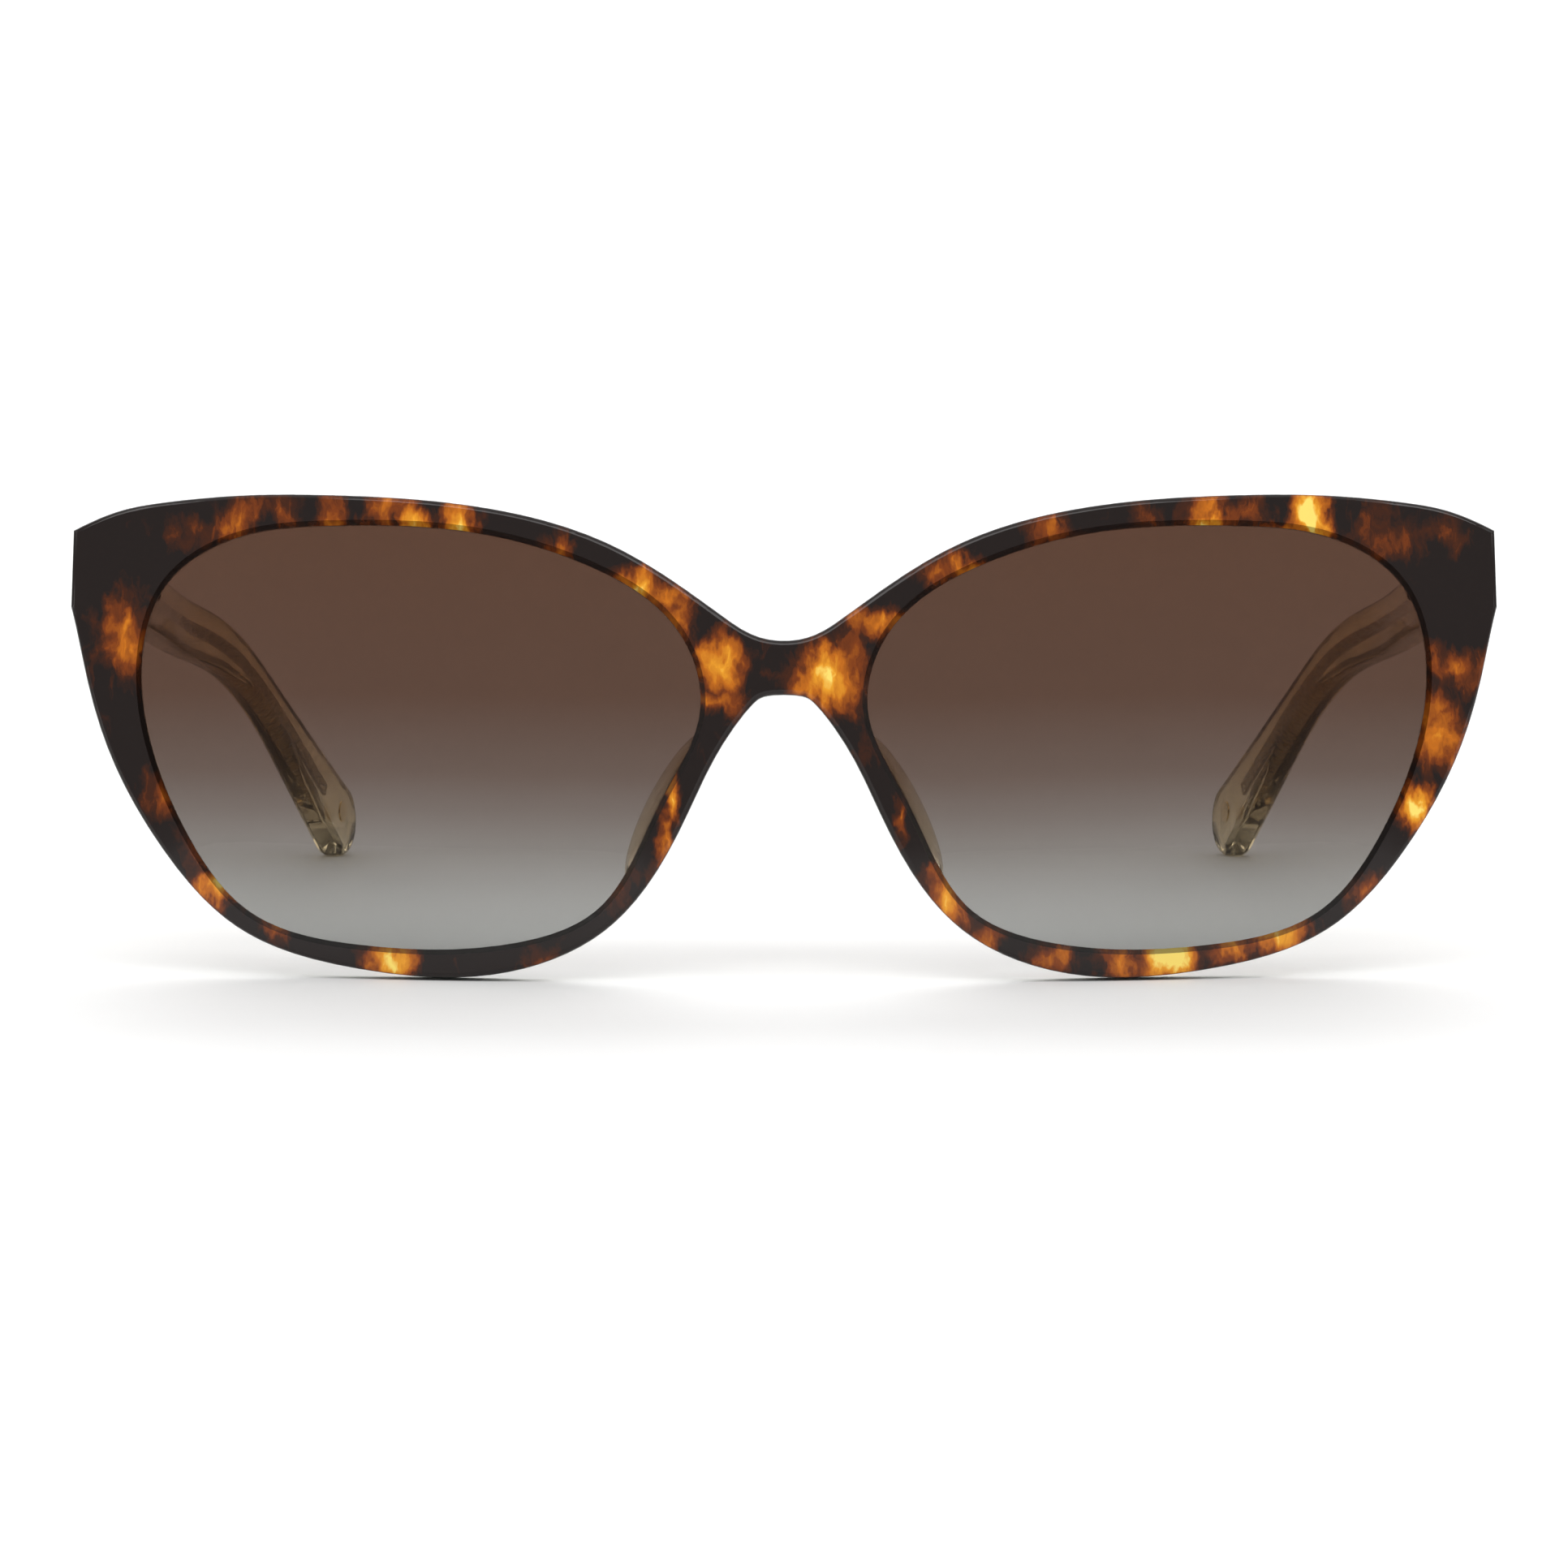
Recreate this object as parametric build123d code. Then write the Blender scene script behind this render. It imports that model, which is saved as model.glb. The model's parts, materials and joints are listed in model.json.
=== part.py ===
from build123d import *
import math
import os

# Cat eye sunglasses: a laminated acetate front, gradient lenses and folding wire-cored temples.
#
# The front is drawn upright: X across the face, Y back towards the ears and Z up, with the foremost
# point of the bridge at Y 0 and the lowest point of the rims near Z 0. A temple is drawn on its own
# hinge, with the pivot at the origin. The side at +X, the wearer's left, is modelled and then
# mirrored. At the end everything is tipped back until the rims and the temple tips stand on Z 0.

# ---- Driving dimensions, in millimetres and degrees ----

# Front: two bonded sheets, bent into part of a sphere.
EYE_WIDTH = 56.1  # clear opening of one rim, side to side
EYE_HEIGHT = 42.3
EYE_GAP = 16.5  # across the nose, opening to opening
EYE_CENTRE_Z = 23.65
FACE_RADIUS = 210.0
TORTOISE_THICKNESS = 2.0  # front sheet
CRYSTAL_THICKNESS = 2.4  # rear sheet
BRIDGE_TOP_Z = 33.1
BRIDGE_BOTTOM_Z = 27.7
END_REACH = 7.2  # end piece, outside the opening
END_HEIGHT = 7.7
END_TOP_Z = 44.6
BROW_RISE = 2.6  # top of the brow above the corner of the end piece
BROW_RUN = 8.6
END_LEAN = 0.2  # the top corner of the end piece, inside its lower corner
EDGE_ROUND = 0.5  # front edge of the outline
REAR_ROUND = 0.8  # rear edge of the outline
EYE_BEVEL_WIDTH = 0.9  # slope of the front face down to the lens
EYE_BEVEL_DEPTH = 0.5
EYE_REAR_BEVEL = 0.4

# Lenses, held by a tongue in a groove.
LENS_THICKNESS = 2.0
LENS_INSET = 0.9  # lens front, behind the front face
GROOVE_DEPTH = 0.6
GROOVE_WIDTH = 1.0
LENS_CLEARANCE = 0.05

# Nose pads, bonded behind the rims.
PAD_LENGTH = 17.0
PAD_WIDTH = 3.0
PAD_DEPTH = 5.4
PAD_SPLAY = 20.0  # leans this far away from the nose
PAD_TILT = 27.0  # follows the slope of the rim
PAD_REACH = 0.95  # middle of the pad, outside the opening

# Temples.
BUTT_THICKNESS = 4.2  # where the temple meets the end piece
TEMPLE_THICKNESS = 3.1
TEMPLE_LENGTH = 141.5  # pivot to tip, along the temple
BEND_START = 84.0  # pivot to the start of the ear bend
BEND_RADIUS = 57.0
BEND_ANGLE = 26.5
TURN_START = 70.0  # pivot to where the temple turns in towards the head
TURN_RADIUS = 96.0
TURN_ANGLE = 13.6
TOE_IN = 2.1
BUTT_HEIGHT = 7.5
BUTT_LEAD = 6.0  # drawn this far ahead of the pivot, then trimmed to the end piece
TAPER_START = 29.4  # pivot to where the height starts to fall away
TAPER_HEIGHT = 7.0
BEND_HEIGHT = 6.2  # at the start of the ear bend
WAIST_HEIGHT = 5.0  # at its end
PADDLE_HEIGHT = 8.3
PADDLE_LENGTH = 16.0
TEMPLE_ROUND = 1.0
TEMPLE_SETBACK = 0.35  # outer face of the temple, inside the edge of the end piece
TEMPLE_GAP = 0.1  # butt to end piece, when open
PANTO_ANGLE = 2.3  # the temples point this far down from square to the front

# Hinges.
BARREL_RADIUS = 1.3
BARREL_HEIGHT = 6.0
BARREL_INSET = 2.3  # pivot, inside the inner face of the temple
BARREL_CLEARANCE = 0.45  # barrel to end piece
KNUCKLES = 5
KNUCKLE_GAP = 0.05
LEAF_NECK = 1.6  # web that joins a knuckle to its leaf
SCREW_RADIUS = 0.6
SCREW_CLEARANCE = 0.04
SCREW_HEAD_RADIUS = 0.95
SCREW_HEAD_HEIGHT = 0.5
SCREW_SLOT = 0.25
FRONT_LEAF_WIDTH = 4.6
FRONT_LEAF_HEIGHT = 6.6
FRONT_LEAF_THICKNESS = 1.3
TEMPLE_LEAF_LENGTH = 9.0
TEMPLE_LEAF_HEIGHT = 5.4
TEMPLE_LEAF_THICKNESS = 0.8
TEMPLE_LEAF_PROUD = 0.25
TEMPLE_LEAF_LEAD = 0.3  # reaches this far ahead of the pivot
LEAF_ROUND = 0.6

# Core wires and tip discs.
CORE_THICKNESS = 0.9
CORE_HEIGHT = 1.4
CORE_START = 4.5  # pivot to the end of the wire, which meets a stub on the hinge leaf
CORE_END_MARGIN = 11.0  # wire to tip
STUB_LENGTH = 2.0
DISC_RADIUS = 1.2
DISC_THICKNESS = 0.6
DISC_PROUD = 0.1
DISC_MARGIN = 6.0  # disc centre to tip

# The rim at stations clockwise from the bridge: place on the opening, as shares of its half width
# and half height with +1 at the temple side and the top, and the width of the rim outside it.
BROW = [(-0.662, 0.765, 2.8), (-0.217, 0.956, 2.6), (0.343, 0.998, 3.1), (0.597, 0.967, 3.9)]
END = [(0.909, 0.731)]
LOWER = [
    (1.000, 0.297, 5.6), (0.967, -0.018, 4.25), (0.835, -0.448, 2.9), (0.609, -0.819, 1.95),
    (0.198, -0.979, 2.4), (-0.303, -0.977, 2.75), (-0.627, -0.820, 2.1), (-0.856, -0.314, 2.95),
]
NOSE = [(-0.999, 0.131), (-0.927, 0.480)]
PAD_STATION = (-0.856, -0.314)

# The bridge beside its middle: place as a share of the gap, and height above its upper or lower edge.
SHOULDER = (0.36, 2.35)
ARCH = [(0.36, -4.7), (0.18, -0.8)]

# Headings of the outline: of the brow onto the end piece, and of the rim as it leaves its underside.
BROW_HEADING = (2, -1)
RIM_HEADING = (-1, -3.6)

EYE_CENTRE = Vector((EYE_WIDTH + EYE_GAP) / 2, EYE_CENTRE_Z)
FRONT_THICKNESS = TORTOISE_THICKNESS + CRYSTAL_THICKNESS
END_X = EYE_CENTRE.X + EYE_WIDTH / 2 + END_REACH
HINGE_X = END_X - TEMPLE_SETBACK - BUTT_THICKNESS - BARREL_INSET
HINGE_Z = END_TOP_Z - END_HEIGHT / 2
FAR = 100.0  # further than anything reaches, for cutting tools
NEAR_ENOUGH = 0.01
MOST_LEAN = 20.0
LEAN_HALVINGS = 14


def ball(depth):
    """The solid ball whose surface lies that far behind the front face."""
    return Pos(0, FACE_RADIUS, EYE_CENTRE_Z) * Sphere(FACE_RADIUS - depth)


def shell(near, far):
    """The layer between two depths behind the front face."""
    return ball(near) - ball(far)


def face_y(x, z, depth):
    """Y where a line along Y through x, z meets the surface at that depth."""
    radius = FACE_RADIUS - depth
    return FACE_RADIUS - math.sqrt(radius**2 - x**2 - (z - EYE_CENTRE_Z) ** 2)


def mirrored(solid):
    return mirror(solid, about=Plane.YZ)


# ---- The front: two sheets, two lenses and two nose pads ----

def eye_outline(grow=0.0):
    """The opening at +X as a closed curve in XY, with its stations moved outwards by grow."""
    stations = [
        EYE_CENTRE + Vector(station[0] * EYE_WIDTH / 2, station[1] * EYE_HEIGHT / 2)
        for station in BROW + END + LOWER + NOSE
    ]
    outline = Spline(*stations, periodic=True)
    if grow == 0:
        return outline
    return Spline(*[point + outward(outline, point) * grow for point in stations], periodic=True)


def outward(outline, point):
    """Unit normal of a clockwise outline at a point on it, away from what it encloses."""
    tangent = outline % outline.param_at_point(point)
    return Vector(-tangent.Y, tangent.X)


def rim_points(stations):
    """Points of the outer outline, one beside each station."""
    outline = eye_outline()
    points = []
    for u, v, width in stations:
        point = EYE_CENTRE + Vector(u * EYE_WIDTH / 2, v * EYE_HEIGHT / 2)
        points.append(point + outward(outline, point) * width)
    return points


def eye_prism(grow=0.0):
    """The opening, or that outline moved outwards, cut straight through along Y."""
    return extrude(Plane.XZ * make_face(eye_outline(grow)), FAR, both=True)


def front_face():
    """Outline of the whole front, in the XZ plane."""
    shoulder = Vector(EYE_GAP * SHOULDER[0], BRIDGE_TOP_Z + SHOULDER[1])
    brow_end = Vector(END_X - BROW_RUN, END_TOP_Z + BROW_RISE)
    end_top = Vector(END_X - END_LEAN, END_TOP_Z)
    end_low = Vector(END_X, END_TOP_Z - END_HEIGHT)
    arch = [Vector(EYE_GAP * share, BRIDGE_BOTTOM_Z + rise) for share, rise in ARCH]
    brow = Spline(
        Vector(0, BRIDGE_TOP_Z), shoulder, *rim_points(BROW), brow_end, end_top,
        tangents=[(1, 0), BROW_HEADING],
    )
    under = Spline(
        end_low, *rim_points(LOWER), *arch, Vector(0, BRIDGE_BOTTOM_Z),
        tangents=[RIM_HEADING, (-1, 0)],
    )
    half = Curve() + [brow, Line(end_top, end_low), under]
    return Plane.XZ * make_face(half + mirrored(half))


def on_surface(edge, depth):
    """Whether an edge lies on the surface at that depth."""
    centre = Vector(0, FACE_RADIUS, EYE_CENTRE_Z)
    reach = [(edge @ share - centre).length for share in (0.1, 0.5, 0.9)]
    return all(abs(length - FACE_RADIUS + depth) < NEAR_ENOUGH for length in reach)


def sheet(blank, near, far, outer, edge_round, bevel):
    """A sheet of the front, with the edges on its outer surface rounded or bevelled."""
    layer = blank & shell(near, far)
    layer = fillet([edge for edge in layer.edges() if on_surface(edge, outer)], edge_round)
    layer = layer - eye_prism() - mirrored(eye_prism())
    lips = [edge for edge in layer.edges() if on_surface(edge, outer) and edge.is_closed]
    return chamfer(lips, *bevel)


def lens_tongue(grow, clearance):
    """The slice of lens that reaches into the groove, or the groove itself."""
    near = LENS_INSET + (LENS_THICKNESS - GROOVE_WIDTH) / 2 + clearance
    return eye_prism(grow) & shell(near, near + GROOVE_WIDTH - 2 * clearance)


def front_sheets():
    """The tortoise sheet and the crystal sheet, grooved for the lenses."""
    blank = extrude(front_face(), FAR, both=True)
    groove = lens_tongue(GROOVE_DEPTH, 0)
    tortoise = sheet(
        blank, 0, TORTOISE_THICKNESS, 0, EDGE_ROUND, (EYE_BEVEL_DEPTH, EYE_BEVEL_WIDTH)
    )
    crystal = sheet(
        blank, TORTOISE_THICKNESS, FRONT_THICKNESS, FRONT_THICKNESS, REAR_ROUND, (EYE_REAR_BEVEL,)
    )
    return tortoise - groove - mirrored(groove), crystal - groove - mirrored(groove)


def lens():
    body = eye_prism(-LENS_CLEARANCE) & shell(LENS_INSET, LENS_INSET + LENS_THICKNESS)
    return body + lens_tongue(GROOVE_DEPTH - LENS_CLEARANCE, LENS_CLEARANCE)


def nose_pad():
    """Half of an egg shape, leaning away from the nose and flush with the back of the rim."""
    middle = rim_points([(*PAD_STATION, PAD_REACH)])[0]
    place = Pos(middle.X, face_y(middle.X, middle.Y, FRONT_THICKNESS), middle.Y)
    egg = scale(Sphere(1), by=(PAD_WIDTH / 2, PAD_DEPTH, PAD_LENGTH / 2))
    return place * Rot(Y=-PAD_TILT) * Rot(Z=-PAD_SPLAY) * egg & ball(FRONT_THICKNESS)


# ---- A temple, drawn on its hinge: pivot at the origin, +X outwards, +Y towards the ear ----

def bent_line(distance, start, radius, angle):
    """A line that runs straight, turns through an arc and runs on: ahead, aside and heading."""
    turn = min(max(distance - start, 0) / radius, math.radians(angle))
    beyond = max(distance - start - radius * math.radians(angle), 0)
    ahead = min(distance, start) + radius * math.sin(turn) + beyond * math.cos(turn)
    aside = radius * (1 - math.cos(turn)) + beyond * math.sin(turn)
    return ahead, aside, turn


def straight_ended(points):
    """A curve through points that leaves its first and reaches its last without bending."""
    return Spline(*points, tangents=[points[1] - points[0], points[-1] - points[-2]])


def side_point(distance, offset):
    """Point of the temple seen from the side, in YZ, offset upwards from its centre line."""
    ahead, aside, turn = bent_line(distance, BEND_START, BEND_RADIUS, BEND_ANGLE)
    return Vector(ahead + offset * math.sin(turn), -aside + offset * math.cos(turn))


def side_face(stations, rounded):
    """Side outline, in the YZ plane, through (distance, height) stations."""
    upper = [side_point(distance, height / 2) for distance, height in stations]
    lower = [side_point(distance, -height / 2) for distance, height in stations]
    distance, height = stations[-1]
    reach = height / 2 if rounded else 0
    tip = side_point(distance + reach, 0)
    end = ThreePointArc(upper[-1], tip, lower[-1]) if rounded else Line(upper[-1], lower[-1])
    start = Line(upper[0], lower[0])
    return Plane.YZ * make_face([straight_ended(upper), end, straight_ended(lower), start])


def plan_point(distance, inset):
    """Point of the temple seen from above, in XY, inset from its outer face."""
    ahead, aside, turn = bent_line(distance, TURN_START, TURN_RADIUS, TURN_ANGLE)
    toe = math.radians(TOE_IN)
    x = BARREL_INSET + BUTT_THICKNESS - aside * math.cos(toe) - ahead * math.sin(toe)
    y = ahead * math.cos(toe) - aside * math.sin(toe)
    return Vector(x - inset * math.cos(turn + toe), y - inset * math.sin(turn + toe))


def thickness_at(distance):
    """The temple thins steadily from the butt to where it turns in."""
    share = min(distance / TURN_START, 1)
    return BUTT_THICKNESS + (TEMPLE_THICKNESS - BUTT_THICKNESS) * share


def plan_face(width=None):
    """Plan outline of the temple, or of a core of that width along its middle."""
    turned = TURN_START + TURN_RADIUS * math.radians(TURN_ANGLE)
    stations = [-BUTT_LEAD, TURN_START / 3, TURN_START * 2 / 3, TURN_START, (TURN_START + turned) / 2]
    stations += [turned, (turned + TEMPLE_LENGTH) / 2, TEMPLE_LENGTH]
    outer = []
    inner = []
    for distance in stations:
        thickness = thickness_at(distance)
        near = (thickness - width) / 2 if width else 0
        outer.append(plan_point(distance, near))
        inner.append(plan_point(distance, thickness - near))
    ends = [Line(outer[-1], inner[-1]), Line(outer[0], inner[0])]
    return make_face([straight_ended(outer), straight_ended(inner)] + ends)


def temple_arm():
    """The acetate temple, before anything is let into it."""
    bent = BEND_START + BEND_RADIUS * math.radians(BEND_ANGLE)
    stations = [
        (-BUTT_LEAD, BUTT_HEIGHT), (TAPER_START, TAPER_HEIGHT), (BEND_START, BEND_HEIGHT),
        ((BEND_START + bent) / 2, (BEND_HEIGHT + WAIST_HEIGHT) / 2), (bent, WAIST_HEIGHT),
        (TEMPLE_LENGTH - PADDLE_LENGTH, (WAIST_HEIGHT + PADDLE_HEIGHT) / 2),
        (TEMPLE_LENGTH - PADDLE_HEIGHT / 2, PADDLE_HEIGHT),
    ]
    side = extrude(side_face(stations, True), FAR, both=True)
    arm = side & extrude(plan_face(), FAR, both=True)
    butt = arm.faces().sort_by(Axis.Y)[0]
    return fillet([edge for edge in arm.edges() if edge not in butt.edges()], TEMPLE_ROUND)


def core_wire():
    bent = BEND_START + BEND_RADIUS * math.radians(BEND_ANGLE)
    end = TEMPLE_LENGTH - CORE_END_MARGIN
    distances = [CORE_START, BEND_START / 2, BEND_START, (BEND_START + bent) / 2, bent, end]
    side = side_face([(distance, CORE_HEIGHT) for distance in distances], False)
    return extrude(side, FAR, both=True) & extrude(plan_face(CORE_THICKNESS), FAR, both=True)


def tip_disc():
    """A round inlay in the inner face of the tip."""
    turned = TURN_START + TURN_RADIUS * math.radians(TURN_ANGLE)
    start = plan_point(turned, TEMPLE_THICKNESS)
    end = plan_point(TEMPLE_LENGTH, TEMPLE_THICKNESS)
    middle = side_point(TEMPLE_LENGTH - DISC_MARGIN, 0)
    x = start.X + (end.X - start.X) * (middle.X - start.Y) / (end.Y - start.Y)
    place = Pos(x, middle.X, middle.Y) * Rot(Z=TURN_ANGLE + TOE_IN) * Rot(Y=90)
    return place * Pos(0, 0, DISC_THICKNESS / 2 - DISC_PROUD) * Cylinder(DISC_RADIUS, DISC_THICKNESS)


# ---- Hinge, in the same frame: its axis is Z ----

def span(x, y, z):
    """A box between the two limits given on each axis."""
    size = [limits[1] - limits[0] for limits in (x, y, z)]
    middle = [(limits[0] + limits[1]) / 2 for limits in (x, y, z)]
    return Pos(*middle) * Box(*size)


def level_limits(level):
    """Bottom and top of one knuckle, counted from the bottom."""
    pitch = BARREL_HEIGHT / KNUCKLES
    bottom = level * pitch - BARREL_HEIGHT / 2
    return bottom + KNUCKLE_GAP / 2, bottom + pitch - KNUCKLE_GAP / 2


def knuckles(levels, web_x, web_y, bore):
    """Bored knuckles at some levels, each with a web out to its leaf."""
    made = Part()
    for level in levels:
        low, high = level_limits(level)
        barrel = Pos(0, 0, (low + high) / 2) * Cylinder(BARREL_RADIUS, high - low)
        made += barrel + span(web_x, web_y, (low, high))
    return made - Cylinder(bore, BARREL_HEIGHT * 2)


def hinge_place():
    """Where the hinge sits on the front."""
    depth = FRONT_THICKNESS + BARREL_CLEARANCE + BARREL_RADIUS
    return Pos(HINGE_X, face_y(HINGE_X, HINGE_Z, depth), HINGE_Z) * Rot(X=-PANTO_ANGLE)


def front_leaf():
    """Leaf sunk in the back of the end piece, with the odd knuckles; drawn on the front."""
    plate = Pos(HINGE_X, 0, HINGE_Z) * (
        Plane.XZ * RectangleRounded(FRONT_LEAF_WIDTH, FRONT_LEAF_HEIGHT, LEAF_ROUND)
    )
    leaf = extrude(plate, FAR, both=True)
    leaf = leaf & shell(FRONT_THICKNESS - FRONT_LEAF_THICKNESS, FRONT_THICKNESS)
    reach = BARREL_RADIUS + BARREL_CLEARANCE + FRONT_LEAF_THICKNESS / 2
    web_x = (-LEAF_NECK / 2, LEAF_NECK / 2)
    ring = knuckles(range(0, KNUCKLES, 2), web_x, (-reach, 0), SCREW_RADIUS)
    top = level_limits(KNUCKLES - 1)[1]
    clear = Pos(0, 0, BARREL_HEIGHT) * Cylinder(SCREW_RADIUS + SCREW_CLEARANCE, BARREL_HEIGHT * 2)
    sink = Pos(0, 0, top) * Cylinder(SCREW_HEAD_RADIUS + SCREW_CLEARANCE, SCREW_HEAD_HEIGHT * 2)
    return leaf + hinge_place() * (ring - clear - sink)


def hinge_screw():
    bottom = level_limits(0)[0]
    top = level_limits(KNUCKLES - 1)[1]
    shoulder = top - SCREW_HEAD_HEIGHT
    shaft = Pos(0, 0, (bottom + shoulder) / 2) * Cylinder(SCREW_RADIUS, shoulder - bottom)
    head = Pos(0, 0, shoulder + SCREW_HEAD_HEIGHT / 2) * Cylinder(SCREW_HEAD_RADIUS, SCREW_HEAD_HEIGHT)
    slot = Pos(0, 0, top) * Box(SCREW_HEAD_RADIUS * 3, SCREW_SLOT, SCREW_SLOT * 2)
    return shaft + head - slot


def temple_leaf():
    """Leaf let into the inner face of the temple, with the even knuckles and the wire's stub."""
    near = BARREL_INSET - TEMPLE_LEAF_PROUD
    corner = (-TEMPLE_LEAF_LEAD, TEMPLE_LEAF_LENGTH - TEMPLE_LEAF_LEAD)
    half = TEMPLE_LEAF_HEIGHT / 2
    plate = span((near, near + TEMPLE_LEAF_THICKNESS), corner, (-half, half))
    plate = fillet(plate.edges().filter_by(Axis.X).group_by(Axis.Y)[-1], LEAF_ROUND)
    core_side = BARREL_INSET + (BUTT_THICKNESS + CORE_THICKNESS) / 2
    stub_y = (CORE_START - STUB_LENGTH, CORE_START)
    stub = span((near, core_side), stub_y, (-CORE_HEIGHT / 2, CORE_HEIGHT / 2))
    web_y = (-TEMPLE_LEAF_LEAD, LEAF_NECK - TEMPLE_LEAF_LEAD)
    ring = knuckles(range(1, KNUCKLES, 2), (0, near + TEMPLE_LEAF_THICKNESS), web_y,
                    SCREW_RADIUS + SCREW_CLEARANCE)
    return plate + stub + ring


# ---- Assembly ----

def lean_angle(front, temple):
    """How far everything tips back for the rims and the temple tips to stand level."""
    low, high = 0.0, MOST_LEAN
    for _ in range(LEAN_HALVINGS):
        lean = (low + high) / 2
        front_z, temple_z = [(Rot(X=-lean) * solid).bounding_box().min.Z for solid in (front, temple)]
        low, high = (lean, high) if temple_z > front_z else (low, lean)
    return lean


def build():
    """Every piece by name, standing on Z 0."""
    tortoise, crystal = front_sheets()
    leaf = front_leaf()
    hinge = hinge_place()
    core = core_wire()
    temple_hinge = temple_leaf()
    disc = tip_disc()
    arm = hinge * (temple_arm() - temple_hinge - core - disc)
    arm = arm & ball(FRONT_THICKNESS + TEMPLE_GAP)
    sides = {
        "lens": lens(),
        "nose_pad": nose_pad(),
        "front_hinge": leaf,
        "hinge_screw": hinge * hinge_screw(),
        "temple_arm": arm,
        "temple_hinge": hinge * temple_hinge,
        "core_wire": hinge * core,
        "tip_disc": hinge * disc,
    }
    pieces = {"front_rim_tortoise": tortoise, "front_rim_crystal": crystal - leaf - mirrored(leaf)}
    for name, solid in sides.items():
        pieces["left_" + name] = solid
        pieces["right_" + name] = mirrored(solid)
    lean = Rot(X=-lean_angle(crystal, arm))
    box = Compound([lean * solid for solid in pieces.values()]).bounding_box()
    stand = Pos(-box.center().X, -box.center().Y, -box.min.Z) * lean
    return {name: stand * solid for name, solid in pieces.items()}


if __name__ == "__main__":
    os.makedirs("parts", exist_ok=True)
    for name, piece in build().items():
        export_step(piece, f"parts/{name}.step")
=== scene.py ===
"""Finishes and studio for the cat eye sunglasses, laid out as an add-on and run as a script."""

import json
import math

import bmesh
import bpy
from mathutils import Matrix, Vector
from mathutils.bvhtree import BVHTree


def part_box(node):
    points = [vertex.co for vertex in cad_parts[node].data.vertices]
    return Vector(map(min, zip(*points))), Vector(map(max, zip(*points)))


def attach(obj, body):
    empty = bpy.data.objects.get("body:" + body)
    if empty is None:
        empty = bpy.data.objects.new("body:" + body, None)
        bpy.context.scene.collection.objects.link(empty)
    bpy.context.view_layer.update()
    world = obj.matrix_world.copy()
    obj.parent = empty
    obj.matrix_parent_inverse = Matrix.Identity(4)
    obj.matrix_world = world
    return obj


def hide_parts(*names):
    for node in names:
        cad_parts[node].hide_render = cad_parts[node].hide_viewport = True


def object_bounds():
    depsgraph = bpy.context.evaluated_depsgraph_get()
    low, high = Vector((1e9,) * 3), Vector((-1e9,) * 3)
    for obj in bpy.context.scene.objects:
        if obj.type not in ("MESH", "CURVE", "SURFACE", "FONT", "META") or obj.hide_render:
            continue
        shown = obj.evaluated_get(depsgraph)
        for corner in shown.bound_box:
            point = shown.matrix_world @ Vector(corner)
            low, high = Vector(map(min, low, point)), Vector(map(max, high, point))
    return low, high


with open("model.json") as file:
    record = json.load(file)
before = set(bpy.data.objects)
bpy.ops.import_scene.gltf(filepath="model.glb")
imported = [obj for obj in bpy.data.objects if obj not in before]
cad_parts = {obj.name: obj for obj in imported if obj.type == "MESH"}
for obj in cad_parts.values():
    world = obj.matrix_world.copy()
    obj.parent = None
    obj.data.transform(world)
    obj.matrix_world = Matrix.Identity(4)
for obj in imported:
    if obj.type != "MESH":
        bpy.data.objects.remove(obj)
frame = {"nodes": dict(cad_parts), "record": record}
cad_low, cad_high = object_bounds()
nodes = frame["nodes"]

bl_info = {
    "name": "Cat eye sunglasses finishes",
    "version": (1, 0, 0),
    "blender": (4, 5, 0),
    "location": "View3D > Sidebar > Sunglasses",
    "description": "Gives the packed sunglasses their acetate, lens and metal finishes and a studio",
    "category": "Object",
}

MM = 0.001
SIDES = ("left", "right")

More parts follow.
